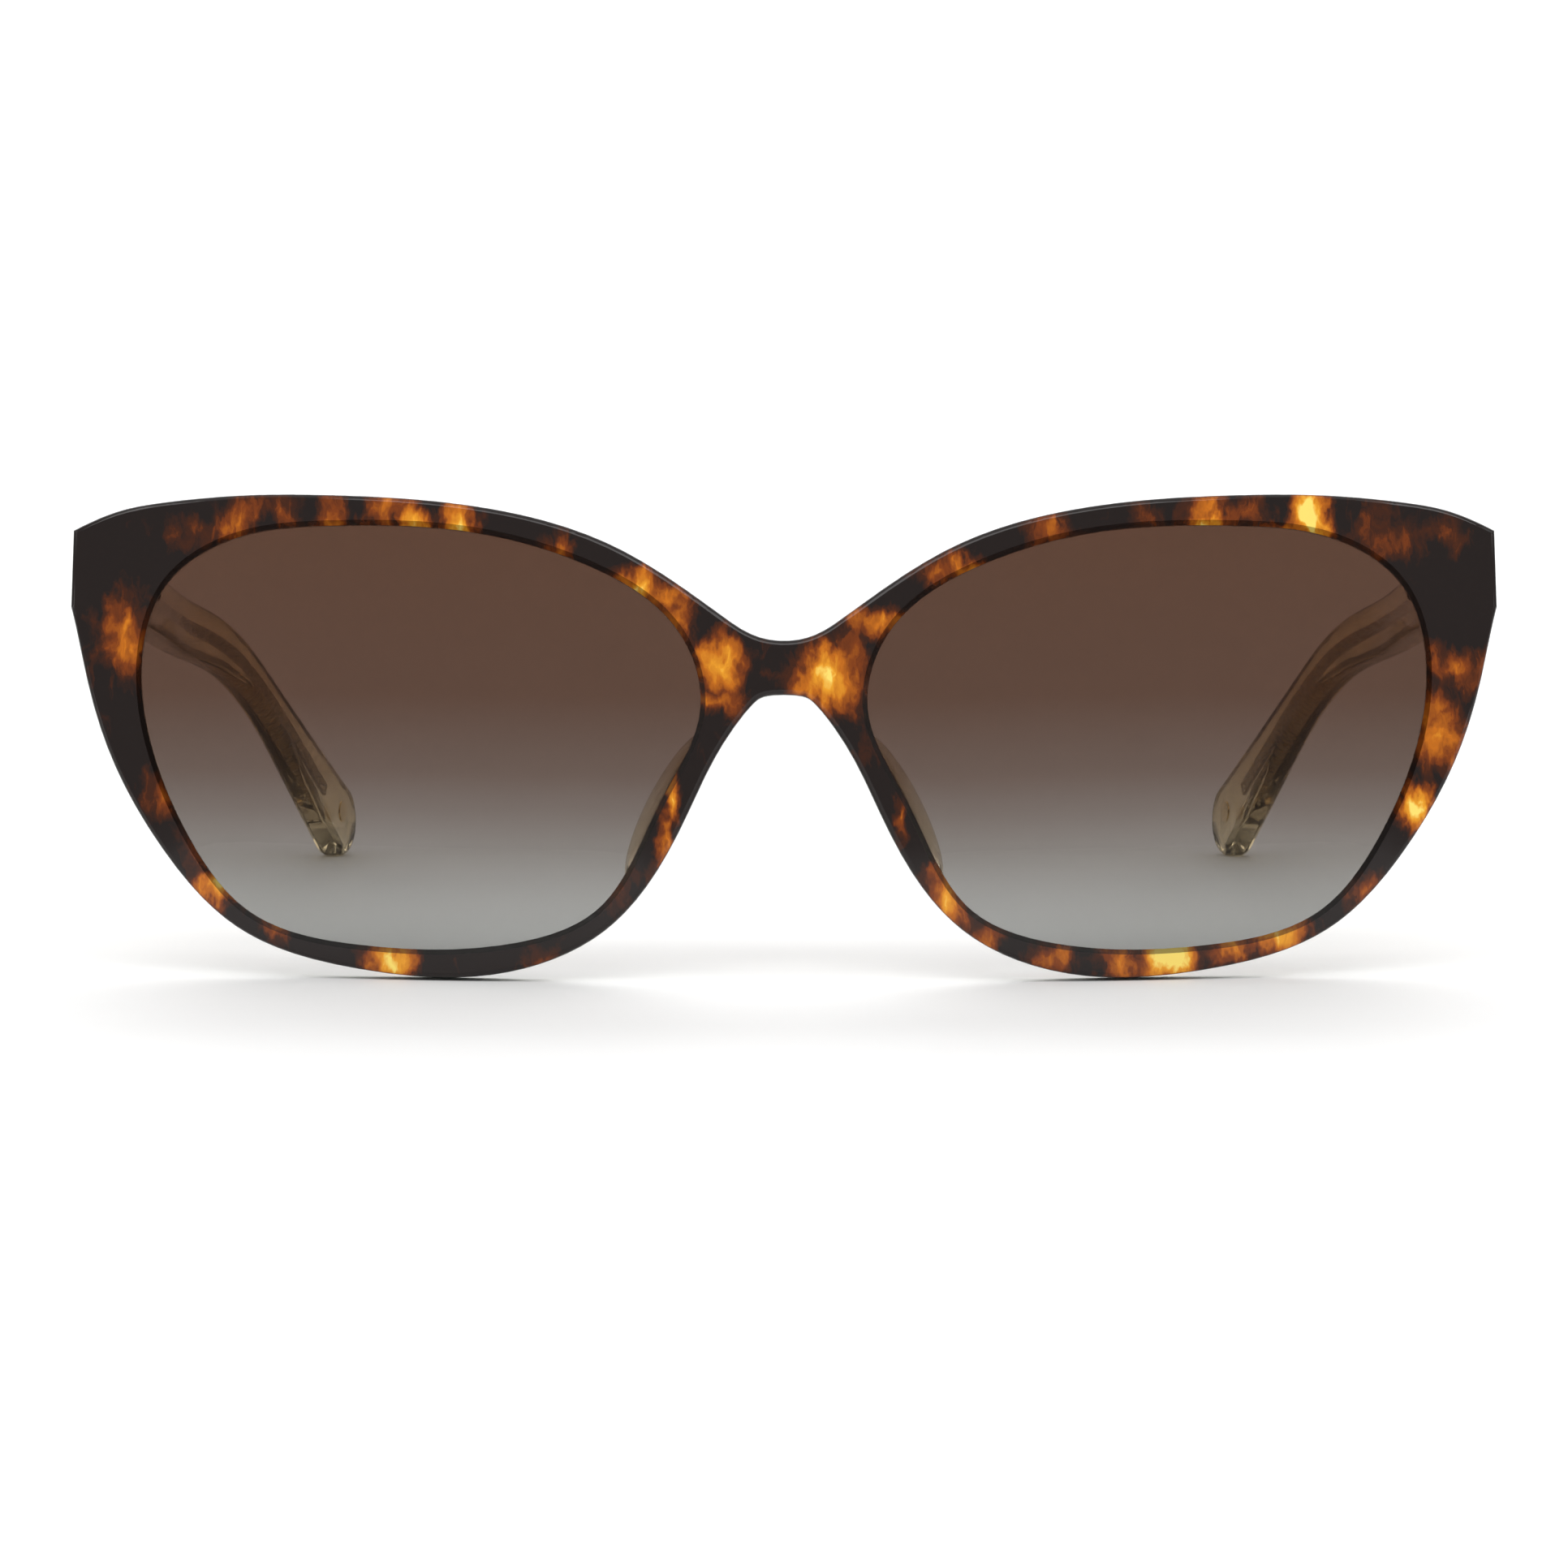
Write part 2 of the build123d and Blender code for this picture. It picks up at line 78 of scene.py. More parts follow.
# Amber patches in the tortoise sheet: x and z of the middle, half width, half height (mm), strength.
AMBER_PATCHES = [
    # wearer's left rim, round from the bridge by way of the brow
    (4.8, 30.0, 3.8, 3.0, 0.80), (9.6, 35.4, 3.0, 1.5, 0.75), (15.0, 41.0, 2.4, 1.6, 0.60),
    (18.4, 40.9, 1.8, 1.5, 0.85), (26.4, 44.4, 2.2, 2.6, 0.55), (36.2, 45.6, 1.8, 2.2, 0.42),
    (41.6, 46.2, 1.8, 2.4, 0.62), (41.0, 44.6, 2.6, 1.0, 1.10), (46.2, 45.8, 2.0, 2.6, 0.50),
    (49.6, 44.4, 1.6, 1.2, 0.75), (52.4, 46.0, 2.2, 3.2, 1.36), (60.8, 43.2, 3.4, 2.2, 0.42),
    (66.0, 43.9, 2.4, 1.6, 0.40), (66.6, 30.6, 4.0, 1.8, 0.52), (65.4, 24.0, 2.8, 3.8, 0.72),
    (62.8, 16.6, 1.6, 2.0, 1.16), (57.6, 8.8, 1.6, 1.8, 0.55), (49.2, 4.7, 3.4, 1.8, 0.90),
    (44.4, 3.4, 2.0, 2.4, 0.66), (38.2, 2.2, 2.4, 2.8, 1.30), (33.2, 2.0, 2.2, 2.4, 0.64),
    (26.6, 2.0, 2.2, 2.0, 0.62), (20.2, 3.6, 2.0, 1.6, 0.48), (16.2, 8.2, 2.0, 3.0, 0.90),
    (11.6, 16.6, 0.9, 2.2, 0.66),
    # wearer's right rim
    (-6.2, 31.6, 2.4, 2.2, 0.90), (-6.8, 28.0, 3.0, 1.4, 0.66), (-10.8, 33.6, 1.6, 2.8, 0.95),
    (-12.2, 37.6, 2.6, 2.6, 0.66), (-15.0, 39.0, 2.2, 2.2, 0.90), (-23.0, 42.4, 1.8, 2.0, 0.66),
    (-32.0, 45.0, 1.5, 2.6, 0.92), (-36.6, 45.2, 1.4, 1.6, 0.90), (-39.6, 46.8, 2.2, 2.0, 0.72),
    (-44.8, 45.8, 1.8, 2.6, 0.55), (-50.2, 46.6, 1.8, 2.2, 0.45), (-54.6, 44.9, 2.2, 2.6, 0.66),
    (-58.6, 43.8, 2.6, 1.6, 0.42), (-65.8, 33.2, 3.2, 4.0, 0.58), (-61.6, 17.8, 1.8, 1.8, 0.58),
    (-58.8, 13.6, 1.5, 3.0, 0.58), (-56.6, 8.6, 2.6, 1.7, 0.95), (-50.8, 6.0, 1.8, 2.0, 0.74),
    (-39.4, 2.2, 2.2, 2.8, 1.16), (-23.6, 1.6, 2.4, 1.6, 0.48), (-15.8, 9.4, 1.6, 2.4, 0.45),
    (-12.2, 14.0, 1.0, 3.2, 0.74), (-11.0, 18.0, 0.8, 2.8, 0.84),
]

# Level in the heart of a patch of strength 1, what it loses by one half width out, and how softly
# two patches join.
PATCH_HEART = 1.10
PATCH_FALL = 0.62
PATCH_JOIN = 0.12

# How much of the tortoise pattern shows in the rear face of the crystal sheet.
REAR_SHOW = 0.84

# How far the pattern's edges wander, in metres along X, Y and Z.
COARSE_WARP = Vector((0.0050, 0.0, 0.0058))
FINE_WARP = Vector((0.0020, 0.0, 0.0026))

# Fade of the lens dye: height as a share of the lens, and how far it has faded to the pale end.
LENS_FADE = [
    (0.04, 1.0), (0.14, 0.80), (0.23, 0.55), (0.33, 0.32), (0.42, 0.16), (0.60, 0.035), (1.0, 0.0),
]


# ---- Settings a user would change ----

def colour(name, description, default):
    return bpy.props.FloatVectorProperty(
        name=name, description=description, default=default, subtype="COLOR", size=3, min=0, max=1
    )


def number(name, description, default, low=0.0, high=1.0, unit="NONE", subtype="NONE"):
    return bpy.props.FloatProperty(
        name=name, description=description, default=default, min=low, max=high, unit=unit,
        subtype=subtype,
    )


class SunglassesFinish(bpy.types.PropertyGroup):
    """Colours and surface qualities of the materials."""

    tortoise_dark: colour("Tortoise dark", "Ground of the tortoise sheet", (0.016, 0.011, 0.010))
    tortoise_brown: colour("Tortoise brown", "Thin smoky parts of the ground", (0.060, 0.017, 0.007))
    tortoise_orange: colour("Tortoise orange", "Rims of the amber patches", (0.210, 0.045, 0.007))
    tortoise_amber: colour("Tortoise amber", "Body of the amber patches", (0.560, 0.155, 0.010))
    tortoise_gold: colour("Tortoise gold", "Hearts of the amber patches", (0.850, 0.360, 0.025))
    tortoise_yellow: colour("Tortoise yellow", "Hearts of the brightest patches", (1.0, 0.760, 0.170))
    crystal_tint: colour("Crystal", "Rear sheet of the laminate", (0.500, 0.510, 0.455))
    pad_tint: colour("Nose pads", "Beige crystal of the pads", (0.960, 0.830, 0.640))
    temple_tint: colour("Temples", "Champagne crystal of the temples", (0.950, 0.810, 0.510))
    lens_top: colour("Lens top", "Light that passes at the brow", (0.083, 0.042, 0.027))
    lens_bottom: colour("Lens bottom", "Light that passes at the cheek", (0.325, 0.330, 0.320))
    hinge_tint: colour("Hinge metal", "Nickel silver of the hinges", (0.560, 0.520, 0.440))
    wire_tint: colour("Core wire", "Drawn wire in the temples", (0.560, 0.500, 0.400))
    disc_tint: colour("Tip discs", "Pale gold of the inlays", (0.780, 0.620, 0.350))
    polish: number("Polish", "Roughness of freshly polished acetate", 0.07)
    pad_haze: number("Pad haze", "Roughness of the nose pads, dulled by skin", 0.25)
    temple_haze: number("Temple haze", "Roughness of the temples", 0.012)
    wear: number("Wear", "How much handling has dulled the surfaces", 0.5)


class SunglassesStudio(bpy.types.PropertyGroup):
    """Camera, lights and floor."""

    camera_distance: number(
        "Camera distance", "Camera to the bridge", 0.9, 0.2, 5.0, "LENGTH", "DISTANCE"
    )
    camera_height: number(
        "Camera height", "Above the floor", 0.0894, 0.0, 2.0, "LENGTH", "DISTANCE"
    )
    aim_height: number(
        "Aim height", "Where it looks, above the floor", 0.0198, 0.0, 1.0, "LENGTH", "DISTANCE"
    )
    focal_length: number("Focal length", "On a 36 mm sensor, in mm", 209.6, 10.0, 400.0)
    key_power: number("Overhead light", "Wide softbox above", 10.0, 0.0, 500.0, "POWER")
    back_power: number("Back light", "Softbox behind and above", 8.0, 0.0, 500.0, "POWER")
    front_power: number("Front light", "Softbox above the camera", 6.0, 0.0, 500.0, "POWER")
    side_power: number("Side lights", "Strip boxes left and right", 1.6, 0.0, 500.0, "POWER")
    sky: number("Room light", "Brightness of the white room", 0.33, 0.0, 5.0)
    floor: colour("Floor", "Seamless paper", (0.93, 0.93, 0.925))


# ---- Node building ----

def put(tree, kind, label=None, inputs=None, **settings):
    """Adds a node, sets its fields and unlinked inputs, and links inputs given as sockets."""
    node = tree.nodes.new(kind)
    if label:
        node.label = label
    for key, value in settings.items():
        setattr(node, key, value)
    for key, value in (inputs or {}).items():
        if isinstance(value, bpy.types.NodeSocket):
            tree.links.new(value, node.inputs[key])
        else:
            node.inputs[key].default_value = value
    return node


def blend(first, second, share):
    return [a + (b - a) * share for a, b in zip(first, second)]


def maths(tree, operation, *values, label=None):
    return put(tree, "ShaderNodeMath", label, dict(enumerate(values)), operation=operation).outputs[0]


def vector_maths(tree, operation, *values):
    node = put(tree, "ShaderNodeVectorMath", None, dict(enumerate(values)), operation=operation)
    return node.outputs["Value" if operation == "LENGTH" else "Vector"]


def ramp(tree, factor, stops, label=None):
    """Colour ramp through (position, colour) stops."""
    node = put(tree, "ShaderNodeValToRGB", label, {"Fac": factor})
    elements = node.color_ramp.elements
    while len(elements) < len(stops):
        elements.new(0.5)
    for element, (position, shade) in zip(elements, stops):
        element.position = position
        element.color = (*shade, 1.0)
    return node.outputs["Color"]


def smoothstep(tree, value, low, high, to_low=0.0, to_high=1.0):
    node = put(
        tree, "ShaderNodeMapRange", None,
        {"Value": value, "From Min": low, "From Max": high, "To Min": to_low, "To Max": to_high},
        interpolation_type="SMOOTHSTEP",
    )
    return node.outputs["Result"]


def new_group(name, inputs, outputs):
    """An empty shader node group with named sockets: (name, type, default)."""
    group = bpy.data.node_groups.new(name, "ShaderNodeTree")
    for socket_name, kind, default in inputs:
        socket = group.interface.new_socket(socket_name, in_out="INPUT", socket_type=kind)
        socket.default_value = default
    for socket_name, kind in outputs:
        group.interface.new_socket(socket_name, in_out="OUTPUT", socket_type=kind)
    source = group.nodes.new("NodeGroupInput")
    sink = group.nodes.new("NodeGroupOutput")
    return group, source.outputs, sink.inputs


def use_group(tree, name, **inputs):
    """Places a shared group and sets its inputs, whose names have spaces for underscores."""
    node = tree.nodes.new("ShaderNodeGroup")
    node.node_tree = bpy.data.node_groups[name]
    for key, value in inputs.items():
        socket = node.inputs[key.replace("_", " ")]
        if isinstance(value, bpy.types.NodeSocket):
            tree.links.new(value, socket)
        else:
            socket.default_value = value
    return node.outputs


def object_position(tree):
    return tree.nodes.new("ShaderNodeTexCoord").outputs["Object"]


def front_facing(tree):
    """The Y part of the surface normal: -1 at the front, 1 at the back."""
    normal = tree.nodes.new("ShaderNodeTexCoord").outputs["Normal"]
    return put(tree, "ShaderNodeSeparateXYZ", None, {"Vector": normal}).outputs["Y"]


def handling_group():
    """Smudges and fine wiping scratches, as a roughness and a height."""
    tree, given, result = new_group(
        "Handling marks",
        [("Roughness", "NodeSocketFloat", 0.1), ("Amount", "NodeSocketFloat", 0.5)],
        [("Roughness", "NodeSocketFloat"), ("Height", "NodeSocketFloat")],
    )
    place = object_position(tree)
    smudge = put(tree, "ShaderNodeTexNoise", "smudges", {
        "Vector": place, "Scale": 120.0, "Detail": 4.0, "Roughness": 0.55, "Distortion": 0.6,
    }).outputs["Fac"]
    stretched = put(tree, "ShaderNodeMapping", "wiping direction", {
        "Vector": place, "Rotation": (0.3, 0.5, 0.4), "Scale": (300.0, 4000.0, 4000.0),
    }).outputs["Vector"]
    scratch = put(tree, "ShaderNodeTexNoise", "scratches", {
        "Vector": stretched, "Scale": 1.0, "Detail": 1.0,
    }).outputs["Fac"]
    fine = smoothstep(tree, scratch, 0.62, 0.72)
    dull = smoothstep(tree, smudge, 0.42, 0.72, 0.0, 0.09)
    mixed = maths(tree, "MULTIPLY_ADD", fine, 0.05, dull)
    extra = maths(tree, "MULTIPLY", mixed, given["Amount"])
    tree.links.new(maths(tree, "ADD", given["Roughness"], extra), result["Roughness"])
    tree.links.new(maths(tree, "MULTIPLY", fine, given["Amount"]), result["Height"])


def tortoise_group():
    """Tortoise acetate seen through its thickness: smoky ground, amber patches and painted shade on the
    side walls.
    """
    look = bpy.context.scene.sunglasses_finish
    tree, given, result = new_group(
        "Tortoise pattern",
        # Edge Shade sets how dark the painted shade on the side walls gets; 1 paints none.
        [("Clouding", "NodeSocketFloat", 1.0), ("Edge Shade", "NodeSocketFloat", 0.35)],
        [("Color", "NodeSocketColor")],
    )
    place = object_position(tree)
    flat = vector_maths(tree, "MULTIPLY", place, (1.0, 0.25, 0.55))
    wander = put(tree, "ShaderNodeTexNoise", "wandering edges", {
        "Vector": flat, "Scale": 230.0, "Detail": 5.0, "Roughness": 0.58,
    }).outputs["Color"]
    ragged = put(tree, "ShaderNodeTexNoise", "ragged edges", {
        "Vector": flat, "Scale": 850.0, "Detail": 2.5, "Roughness": 0.55,
    }).outputs["Color"]
    coarse = vector_maths(tree, "MULTIPLY_ADD", wander, COARSE_WARP, COARSE_WARP * -0.5)
    fine = vector_maths(tree, "MULTIPLY_ADD", ragged, FINE_WARP, FINE_WARP * -0.5)
    warped = vector_maths(tree, "ADD", place, vector_maths(tree, "ADD", coarse, fine))
    strongest = None
    for x, z, half_width, half_height, strength in AMBER_PATCHES:
        scale = Vector((1 / (half_width * MM), 0, 1 / (half_height * MM)))
        offset = Vector((-x * MM * scale.x, 0, -z * MM * scale.z))
        from_middle = vector_maths(tree, "MULTIPLY_ADD", warped, scale, offset)
        distance = vector_maths(tree, "LENGTH", from_middle)
        level = maths(
            tree, "MULTIPLY_ADD", distance, -PATCH_FALL * strength, PATCH_HEART * strength
        )
        if strongest is None:
            strongest = level
        else:
            strongest = maths(tree, "SMOOTH_MAX", strongest, level, PATCH_JOIN)
    patches = maths(tree, "MINIMUM", maths(tree, "MAXIMUM", strongest, 0.0), 1.15)
    streaked = put(tree, "ShaderNodeMapping", "streaks down the sheet", {
        "Vector": warped, "Scale": (620.0, 60.0, 260.0),
    }).outputs["Vector"]
    streak = put(tree, "ShaderNodeTexNoise", "streaks", {
        "Vector": streaked, "Scale": 1.0, "Detail": 4.0, "Roughness": 0.6, "Distortion": 0.4,
    }).outputs["Fac"]
    cloud = put(tree, "ShaderNodeTexNoise", "smoke", {
        "Vector": warped, "Scale": 150.0, "Detail": 3.0, "Roughness": 0.5, "Distortion": 0.8,
    }).outputs["Fac"]
    grain = maths(tree, "MULTIPLY_ADD", maths(tree, "SUBTRACT", streak, 0.5), 0.80, patches)
    smoke = smoothstep(tree, cloud, 0.45, 0.75, 0.0, 0.22)
    clouded = maths(tree, "MULTIPLY", smoke, given["Clouding"])
    level = maths(tree, "ADD", grain, clouded)
    shade = ramp(tree, maths(tree, "MULTIPLY", level, 0.8), [
        (0.12, look.tortoise_dark), (0.27, look.tortoise_brown), (0.40, look.tortoise_orange),
        (0.58, look.tortoise_amber), (0.76, look.tortoise_gold), (0.90, look.tortoise_yellow),
    ], "acetate colours")
    # Painted shade: the colour darkens on the side walls, where the normal turns away from front and
    # back, down to Edge Shade times the pattern colour.
    facing = maths(tree, "ABSOLUTE", front_facing(tree))
    painted_wall_shade = smoothstep(tree, facing, 0.35, 0.8, given["Edge Shade"], 1.0)
    depth = put(
        tree, "ShaderNodeVectorMath", None, {"Vector": shade, "Scale": painted_wall_shade}, operation="SCALE"
    )
    tree.links.new(depth.outputs["Vector"], result["Color"])


def grain_group():
    """Fine drawn grain of metal along one direction."""
    tree, given, result = new_group(
        "Drawn metal grain",
        [
            ("Scale", "NodeSocketVector", (400.0, 400.0, 6000.0)),
            ("Roughness", "NodeSocketFloat", 0.25), ("Contrast", "NodeSocketFloat", 0.2),
        ],
        [("Tone", "NodeSocketFloat"), ("Roughness", "NodeSocketFloat")],
    )
    stretched = vector_maths(tree, "MULTIPLY", object_position(tree), given["Scale"])
    noise = put(tree, "ShaderNodeTexNoise", "grain", {
        "Vector": stretched, "Scale": 1.0, "Detail": 3.0, "Roughness": 0.6,
    }).outputs["Fac"]
    swing = maths(tree, "SUBTRACT", noise, 0.5)
    tree.links.new(maths(tree, "MULTIPLY_ADD", swing, given["Contrast"], 1.0), result["Tone"])
    rough = maths(tree, "MULTIPLY_ADD", swing, given["Contrast"], given["Roughness"])
    tree.links.new(rough, result["Roughness"])


def shader(name, **values):
    """A material whose Principled BSDF has these plain values; returns its tree and shader."""
    material = bpy.data.materials.new(name)
    material.use_nodes = True
    tree = material.node_tree
    principled = tree.nodes["Principled BSDF"]
    for key, value in values.items():
        principled.inputs[key.replace("_", " ")].default_value = value
    return material, tree, principled


def wear_surface(tree, principled, roughness, amount, depth=0.000004):
    """Feeds handling marks into a shader's roughness and normal."""
    marks = use_group(tree, "Handling marks", Roughness=roughness, Amount=amount)
    tree.links.new(marks["Roughness"], principled.inputs["Roughness"])
    bump = put(tree, "ShaderNodeBump", None, {
        "Height": marks["Height"], "Strength": 0.15, "Distance": depth,
    })
    tree.links.new(bump.outputs["Normal"], principled.inputs["Normal"])


def tortoise_material(look):
    material, tree, principled = shader(
        "Polished tortoise acetate", IOR=1.49, Specular_IOR_Level=0.32
    )
    # Painted shade: the side walls of the front are darkened to 0.3 of the pattern colour.
    pattern = use_group(tree, "Tortoise pattern", Clouding=1.0, Edge_Shade=0.3)
    tree.links.new(pattern["Color"], principled.inputs["Base Color"])
    wear_surface(tree, principled, look.polish, look.wear)
    return material


def crystal_material(look):
    """Pale crystal sheet; opaque, with the tortoise pattern mixed in where it faces the rear."""
    material, tree, principled = shader(
        "Polished pale crystal acetate", IOR=1.49, Specular_IOR_Level=0.35
    )
    pattern = use_group(tree, "Tortoise pattern", Clouding=0.6, Edge_Shade=1.0)
    behind = smoothstep(tree, front_facing(tree), 0.45, 0.85, 0.0, REAR_SHOW)
    veil = put(tree, "ShaderNodeTexNoise", "veil", {
        "Vector": object_position(tree), "Scale": 90.0, "Detail": 3.0,
    }).outputs["Fac"]
    pale = put(tree, "ShaderNodeMix", None, {
        "Factor": veil, "A": (*look.crystal_tint, 1.0),
        "B": (*[min(1.0, c * 1.12) for c in look.crystal_tint], 1.0),
    }, data_type="RGBA").outputs["Result"]
    seen = put(tree, "ShaderNodeMix", None, {
        "Factor": behind, "A": pale, "B": pattern["Color"],
    }, data_type="RGBA").outputs["Result"]
    tree.links.new(seen, principled.inputs["Base Color"])
    wear_surface(tree, principled, look.polish, look.wear)
    return material


def clear_material(name, tint, look, roughness, streak_scale):
    """Tinted translucent acetate with faint flow lines in it."""
    material, tree, principled = shader(name, IOR=1.49, Transmission_Weight=0.95)
    stretched = vector_maths(tree, "MULTIPLY", object_position(tree), streak_scale)
    flow = put(tree, "ShaderNodeTexNoise", "flow lines", {
        "Vector": stretched, "Scale": 1.0, "Detail": 3.0, "Distortion": 0.5,
    }).outputs["Fac"]
    deep = [channel * 0.95 for channel in tint]
    tone = ramp(tree, flow, [(0.25, deep), (0.75, tint)], "flow tint")
    tree.links.new(tone, principled.inputs["Base Color"])
    wear_surface(tree, principled, roughness, look.wear * 0.2)
    return material


def lens_material(look):
    """Brown at the brow, fading to pale grey at the cheek."""
    low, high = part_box("left_lens")
    material, tree, principled = shader(
        "Gradient lens", IOR=1.22, Transmission_Weight=1.0
    )
    place = object_position(tree)
    level = put(tree, "ShaderNodeSeparateXYZ", None, {"Vector": place}).outputs["Z"]
    ripple = put(tree, "ShaderNodeTexNoise", "dye unevenness", {
        "Vector": place, "Scale": 40.0, "Detail": 2.0,
    }).outputs["Fac"]
    uneven = maths(tree, "MULTIPLY_ADD", maths(tree, "SUBTRACT", ripple, 0.5), 1.2 * MM, level)
    share = put(tree, "ShaderNodeMapRange", None, {
        "Value": uneven, "From Min": low.z, "From Max": high.z,
    }).outputs["Result"]
    stops = [(height, blend(look.lens_top, look.lens_bottom, pale)) for height, pale in LENS_FADE]
    tone = ramp(tree, share, stops, "gradient dye")
    tree.links.new(tone, principled.inputs["Base Color"])
    marks = use_group(tree, "Handling marks", Roughness=0.0, Amount=look.wear * 0.12)
    tree.links.new(marks["Roughness"], principled.inputs["Roughness"])
    return material


def metal_material(name, tint, roughness, scale):
    material, tree, principled = shader(name, Metallic=1.0)
    grain = use_group(tree, "Drawn metal grain", Scale=scale, Roughness=roughness, Contrast=0.18)
    tone = put(
        tree, "ShaderNodeVectorMath", None, {0: tuple(tint), "Scale": grain["Tone"]}, operation="SCALE"
    )
    tree.links.new(tone.outputs["Vector"], principled.inputs["Base Color"])
    tree.links.new(grain["Roughness"], principled.inputs["Roughness"])
    return material


# ---- Meshes ----

# A face lines a pocket when it is this near to an embedded node and this nearly parallel to it.
POCKET_REACH = 0.02 * MM
POCKET_ALIGNMENT = 0.9
WELD_DISTANCE = 0.001 * MM


def dress(node, material):
    """Gives a CAD node its finish."""
    mesh = nodes[node].data
    mesh.materials.clear()
    mesh.materials.append(material)


def body_of_node(node):
    for body, members in frame["record"]["behaviour"]["bodies"].items():
        if node in members:
            return body
    raise RuntimeError(f"no body holds {node}")


def stand_in(node, name, material):
    """A copy of a node's mesh that is shown in its place."""
    source = nodes[node]
    piece = bpy.data.objects.new(name, source.data.copy())
    bpy.context.scene.collection.objects.link(piece)
    piece.data.materials.clear()
    piece.data.materials.append(material)
    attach(piece, body_of_node(node))
    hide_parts(node)
    return piece


def close_pockets(piece, embedded):
    """Removes the faces that lie against embedded nodes and closes the outer surface over them."""
    work = bmesh.new()
    work.from_mesh(piece.data)
    bmesh.ops.remove_doubles(work, verts=work.verts, dist=WELD_DISTANCE)
    depsgraph = bpy.context.evaluated_depsgraph_get()
    trees = [BVHTree.FromObject(nodes[node], depsgraph) for node in embedded]
    buried = []
    for face in work.faces:
        middle = face.calc_center_median()
        near = [tree.find_nearest(middle, POCKET_REACH) for tree in trees]
        if any(hit[0] is not None and abs(hit[1].dot(face.normal)) > POCKET_ALIGNMENT for hit in near):
            buried.append(face)
    bmesh.ops.delete(work, geom=buried, context="FACES")
    loose = [edge for edge in work.edges if edge.is_boundary]
    bmesh.ops.holes_fill(work, edges=loose, sides=0)
    bmesh.ops.triangulate(work, faces=[face for face in work.faces if len(face.verts) > 4])
    work.to_mesh(piece.data)
    work.free()


# ---- Operators, one for each piece or group of like pieces ----

class SUNGLASSES_OT_shared_effects(bpy.types.Operator):
    """Builds the node groups that the materials share"""

    bl_idname = "sunglasses.shared_effects"
    bl_label = "Shared effects"

    def execute(self, context):
        handling_group()
        tortoise_group()
        grain_group()
        return {"FINISHED"}


class SUNGLASSES_OT_front(bpy.types.Operator):
    """Finishes the tortoise sheet and the crystal sheet of the front"""

    bl_idname = "sunglasses.front"
    bl_label = "Front"

    def execute(self, context):
        look = context.scene.sunglasses_finish
        dress("front_rim_tortoise", tortoise_material(look))
        dress("front_rim_crystal", crystal_material(look))
        return {"FINISHED"}


class SUNGLASSES_OT_lenses(bpy.types.Operator):
    """Dyes both lenses from brown to pale grey"""

    bl_idname = "sunglasses.lenses"
    bl_label = "Lenses"

    def execute(self, context):
        material = lens_material(context.scene.sunglasses_finish)
        for side in SIDES:
            dress(f"{side}_lens", material)
        return {"FINISHED"}


class SUNGLASSES_OT_nose_pads(bpy.types.Operator):
    """Finishes the nose pads in beige crystal"""

    bl_idname = "sunglasses.nose_pads"
    bl_label = "Nose pads"

    def execute(self, context):
        look = context.scene.sunglasses_finish
        material = clear_material(
            "Beige crystal acetate", look.pad_tint, look, look.pad_haze, (200.0, 200.0, 200.0)
        )
        for side in SIDES:
            dress(f"{side}_nose_pad", material)
        return {"FINISHED"}


class SUNGLASSES_OT_temples(bpy.types.Operator):
    """Makes the champagne temples, cast round their wires"""

    bl_idname = "sunglasses.temples"
    bl_label = "Temples"

    def execute(self, context):
        look = context.scene.sunglasses_finish
        material = clear_material(
            "Champagne crystal acetate", look.temple_tint, look, look.temple_haze, (220.0, 18.0, 90.0)
        )
        for side in SIDES:
            piece = stand_in(f"{side}_temple_arm", f"{side}_temple_cast", material)
            close_pockets(piece, [f"{side}_core_wire", f"{side}_temple_hinge", f"{side}_tip_disc"])
        return {"FINISHED"}


class SUNGLASSES_OT_core_wires(bpy.types.Operator):
    """Finishes the drawn wires inside the temples"""

    bl_idname = "sunglasses.core_wires"
    bl_label = "Core wires"

    def execute(self, context):
        look = context.scene.sunglasses_finish
        material = metal_material("Drawn wire", look.wire_tint, 0.28, (3000.0, 60.0, 3000.0))
        for side in SIDES:
            dress(f"{side}_core_wire", material)
        return {"FINISHED"}


class SUNGLASSES_OT_hinges(bpy.types.Operator):
    """Finishes the hinge leaves and screws"""

    bl_idname = "sunglasses.hinges"
    bl_label = "Hinges and screws"

    def execute(self, context):
        look = context.scene.sunglasses_finish
        leaf = metal_material("Nickel silver hinge", look.hinge_tint, 0.30, (500.0, 500.0, 5000.0))
        screw = metal_material("Turned screw steel", look.hinge_tint, 0.20, (3000.0, 3000.0, 500.0))
        for side in SIDES:
            dress(f"{side}_front_hinge", leaf)
            dress(f"{side}_temple_hinge", leaf)
            dress(f"{side}_hinge_screw", screw)
        return {"FINISHED"}


class SUNGLASSES_OT_tip_discs(bpy.types.Operator):
    """Finishes the round inlays at the temple tips"""

    bl_idname = "sunglasses.tip_discs"
    bl_label = "Tip discs"

    def execute(self, context):
        look = context.scene.sunglasses_finish
        material = metal_material("Pale gold inlay", look.disc_tint, 0.18, (2500.0, 2500.0, 2500.0))
        for side in SIDES:
            dress(f"{side}_tip_disc", material)
        return {"FINISHED"}


def area_light(name, place, target, size, power):
    data = bpy.data.lights.new(name, "AREA")
    data.shape = "RECTANGLE"
    data.size, data.size_y = size
    data.energy = power
    light = bpy.data.objects.new(name, data)
    light.location = place
    light.rotation_euler = (Vector(target) - Vector(place)).to_track_quat("-Z", "Y").to_euler()
    bpy.context.scene.collection.objects.link(light)


